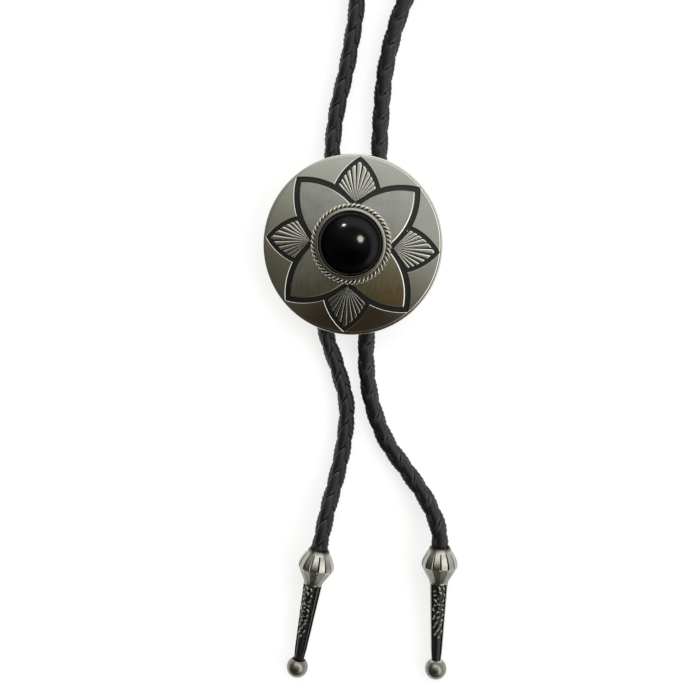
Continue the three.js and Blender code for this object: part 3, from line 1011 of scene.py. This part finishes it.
def tipPiece(name, place):
    bm = bmesh.new()
    hollowLayer = bm.verts.layers.float.new("hollow")
    ballRadius = tipSizes["ballRadius"]
    neck = math.degrees(math.asin(tipSizes["shankEndRadius"] / ballRadius))
    shankAt = tipSizes["shankAt"]
    profile = [
        (0, -tipSizes["length"]),
        *arcProfile(0, -ballAt, ballRadius, -90, 90 - neck, 22)[1:],
        *[(shankRadius(d), -d) for d in (30, 27, 24, 21, 18, 15, 12, 10.8)],
        *[(radius, -depth) for depth, radius in reversed(tipBulge)],
        (tipSizes["facetRadius"] - 0.1, -tipSizes["facetAt"] + 0.12),
        (tipSizes["mouthRadius"] + 0.1, tipSizes["mouthRise"] - 0.12),
        (tipSizes["mouthRadius"], tipSizes["mouthRise"]),
        (tipSizes["socketRadius"] + 0.08, tipSizes["mouthRise"]),
        (tipSizes["socketRadius"], tipSizes["mouthRise"] - 0.1),
        (tipSizes["socketRadius"], -tipSizes["socketDepth"]),
        (0, -tipSizes["socketDepth"]),
    ]
    spinProfile(bm, profile, tipSizes["facets"] * 8)
    facetTip(bm, hollowLayer, place)
    bmesh.ops.rotate(bm, verts=bm.verts, cent=(0, 0, 0),
                     matrix=Matrix.Rotation(math.radians(place["facetTurn"]), 3, "Z"))
    wide, narrow = tipSizes["panelShare"], tipSizes["flankShare"]
    cutters = [panelCutter(k * math.pi / 2, narrow if k % 2 else wide) for k in range(4)]
    bm = carve(bm, cutters, [castMetal, blackened])
    panelScrolls(bm, 0)
    panelScrolls(bm, math.pi)
    bmesh.ops.transform(bm, matrix=tipMatrix(place), verts=bm.verts)
    return finishPiece(bm, name, [castMetal, blackened], [place["node"]],
                       sharpAngle=22)


tips = {name: tipPiece(name, place) for name, place in tipPlaces.items()}
print("tips cast")


# ---- studio ----

studio = {
    "floorSize": 12,  # metres
    "skyStrength": 1.0,
}


def makeFloor():
    bm = bmesh.new()
    bmesh.ops.create_grid(bm, x_segments=1, y_segments=1, size=studio["floorSize"] / 2)
    mesh = bpy.data.meshes.new("floor")
    bm.to_mesh(mesh)
    bm.free()
    mesh.materials.append(whiteBoard)
    floor = bpy.data.objects.new("floor", mesh)
    floor.location.z = -0.0001
    bpy.context.scene.collection.objects.link(floor)


# A soft tent: dim and warm overhead towards the wearer's waist, paler towards the neck loop,
# bright lower down on one side, and pale at the horizon.
def makeTent():
    world = bpy.data.worlds.new("tent")
    bpy.context.scene.world = world
    world.use_nodes = True
    tree = world.node_tree
    backdrop = tree.nodes["Background"]
    backdrop.inputs["Strength"].default_value = studio["skyStrength"]
    way = addNode(tree, "ShaderNodeTexCoord").outputs["Generated"]
    lean = addNode(tree, "ShaderNodeVectorMath", {0: way, 1: (0.35, 0.94, 0)},
                   operation="DOT_PRODUCT").outputs["Value"]
    leanShare = addNode(tree, "ShaderNodeMapRange", {"Value": lean, "From Min": -0.4,
                                                     "From Max": 0.4}).outputs["Result"]
    overhead = addNode(tree, "ShaderNodeValToRGB", {"Fac": leanShare}, stops=[
        (0.02, (0.06, 0.054, 0.036, 1)), (0.2, (0.085, 0.08, 0.058, 1)),
        (0.32, (0.155, 0.142, 0.1, 1)), (0.5, (0.26, 0.262, 0.225, 1)),
        (0.68, (0.48, 0.49, 0.46, 1)), (0.95, (0.5, 0.51, 0.5, 1)),
    ]).outputs["Color"]
    wearer = addNode(tree, "ShaderNodeVectorMath", {0: way, 1: (-0.05, -0.342, 0.938)},
                     operation="DOT_PRODUCT").outputs["Value"]
    wearerShare = addNode(tree, "ShaderNodeMapRange", {"Value": wearer, "From Min": 0.955,
                                                       "From Max": 0.985},
                          interpolation_type="SMOOTHSTEP").outputs["Result"]
    shaded = addNode(tree, "ShaderNodeMix", {0: wearerShare, 6: overhead,
                                             7: (0.024, 0.012, 0.004, 1)},
                     data_type="RGBA").outputs[2]
    wide = addNode(tree, "ShaderNodeVectorMath", {0: way, 1: (0.75, 0.66, 0)},
                   operation="DOT_PRODUCT").outputs["Value"]
    wideShare = addNode(tree, "ShaderNodeMapRange", {"Value": wide, "From Min": -0.9,
                                                     "From Max": 0.9}).outputs["Result"]
    around = addNode(tree, "ShaderNodeValToRGB", {"Fac": wideShare}, stops=[
        (0.05, (0.04, 0.037, 0.033, 1)), (0.3, (0.09, 0.085, 0.075, 1)),
        (0.45, (0.2, 0.2, 0.19, 1)), (0.62, (0.85, 0.85, 0.83, 1)), (0.75, (1.0, 1.0, 1.0, 1)),
    ]).outputs["Color"]
    height = addNode(tree, "ShaderNodeVectorMath", {0: way, 1: (0, -0.1, 0.995)},
                     operation="DOT_PRODUCT").outputs["Value"]
    low = addNode(tree, "ShaderNodeMapRange", {"Value": height, "From Min": 0.865,
                                               "From Max": 0.76},
                  interpolation_type="SMOOTHSTEP").outputs["Result"]
    overHorizon = addNode(tree, "ShaderNodeMapRange", {
        "Value": height, "From Min": 0.2, "From Max": 0.62, "To Min": 0.25, "To Max": 2.1,
    }, interpolation_type="SMOOTHSTEP").outputs["Result"]
    brighter = addNode(tree, "ShaderNodeVectorMath", {0: around, "Scale": overHorizon},
                       operation="SCALE").outputs["Vector"]
    tent = addNode(tree, "ShaderNodeMix", {0: low, 6: shaded, 7: brighter}, data_type="RGBA")
    horizon = addNode(tree, "ShaderNodeMapRange", {"Value": height, "From Min": 0.14,
                                                   "From Max": 0.08}).outputs["Result"]
    closed = addNode(tree, "ShaderNodeMix", {0: horizon, 6: tent.outputs[2],
                                             7: (0.9, 0.9, 0.89, 1)}, data_type="RGBA")
    tree.links.new(closed.outputs[2], backdrop.inputs["Color"])


# A small round lamp that lights the stone alone, for the two glints on it.
def addGlint(name, towards, size, power, tint):
    lamp = bpy.data.lights.new(name, "AREA")
    lamp.shape = "DISK"
    lamp.size = size
    lamp.energy = power
    lamp.color = tint
    thing = bpy.data.objects.new(name, lamp)
    direction = Vector(towards).normalized()
    thing.location = direction * 1.2
    thing.rotation_euler = direction.to_track_quat("Z", "Y").to_euler()
    bpy.context.scene.collection.objects.link(thing)
    thing.light_linking.receiver_collection = stoneOnly


makeFloor()
makeTent()
stoneOnly = bpy.data.collections.new("stoneOnly")
stoneOnly.objects.link(stonePiece)
addGlint("coolGlint", (-0.302, 0.513, 0.804), 0.1, 3.6, (0.8, 0.92, 1))
addGlint("warmGlint", (0.179, 0.174, 0.968), 0.2, 5, (1, 0.96, 0.8))
bpy.context.scene.view_settings.view_transform = "Standard"
print("studio lit")
